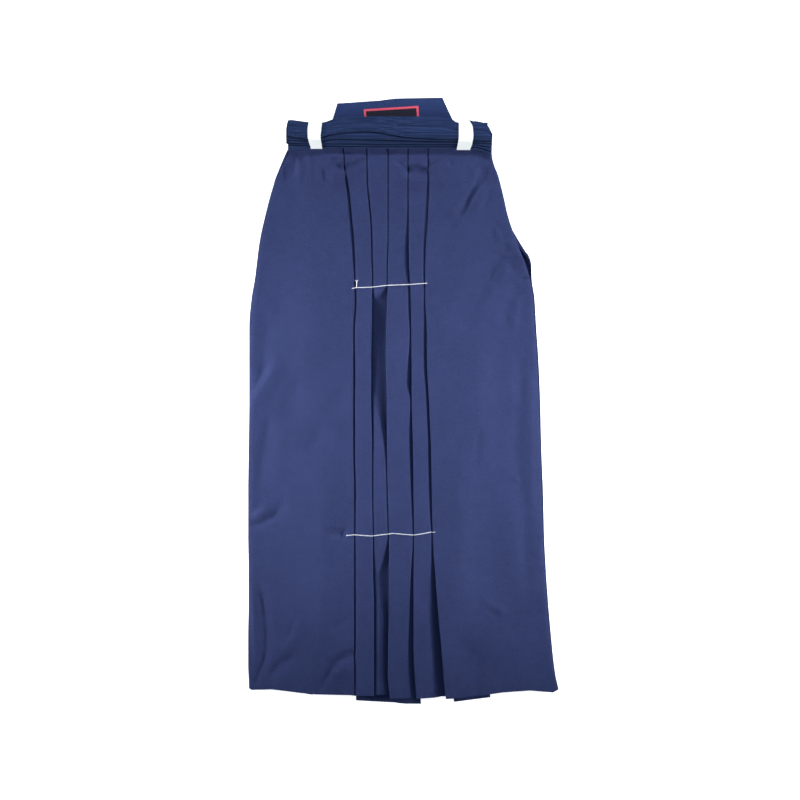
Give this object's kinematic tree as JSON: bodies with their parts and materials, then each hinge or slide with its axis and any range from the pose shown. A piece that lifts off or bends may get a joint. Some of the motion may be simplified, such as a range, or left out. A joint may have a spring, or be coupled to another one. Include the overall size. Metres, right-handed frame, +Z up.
{
  "type": "hakama trousers",
  "caption": "Pleated hakama trousers laid flat with the front up, stiff back board above the waist, long ties folded across it in white paper bands.",
  "frame": {"origin": "centre of the laid-out garment's footprint, on the surface it lies on", "axes": "+X to the right with the front up, +Y towards the waist, +Z up off the surface"},
  "size_m": [0.544, 1.062, 0.024],
  "materials": {
    "twill": "navy polyester and rayon twill, matt",
    "tie_cloth": "the same navy cloth in plies, with a coarser look",
    "label": "dark woven label with a red woven border",
    "paper": "white uncoated paper"
  },
  "bodies": {
    "root": {"front_left": "twill", "front_right": "twill", "back_left": "twill", "back_right": "twill", "gusset": "twill", "koshi_ita": "tie_cloth", "label": "label", "back_tie_left": "tie_cloth", "back_tie_right": "tie_cloth", "front_waistband": "tie_cloth", "ties_bundle": "tie_cloth", "front_tie": "tie_cloth", "paper_band_left": "paper", "paper_band_right": "paper"}
  },
  "joints": []
}
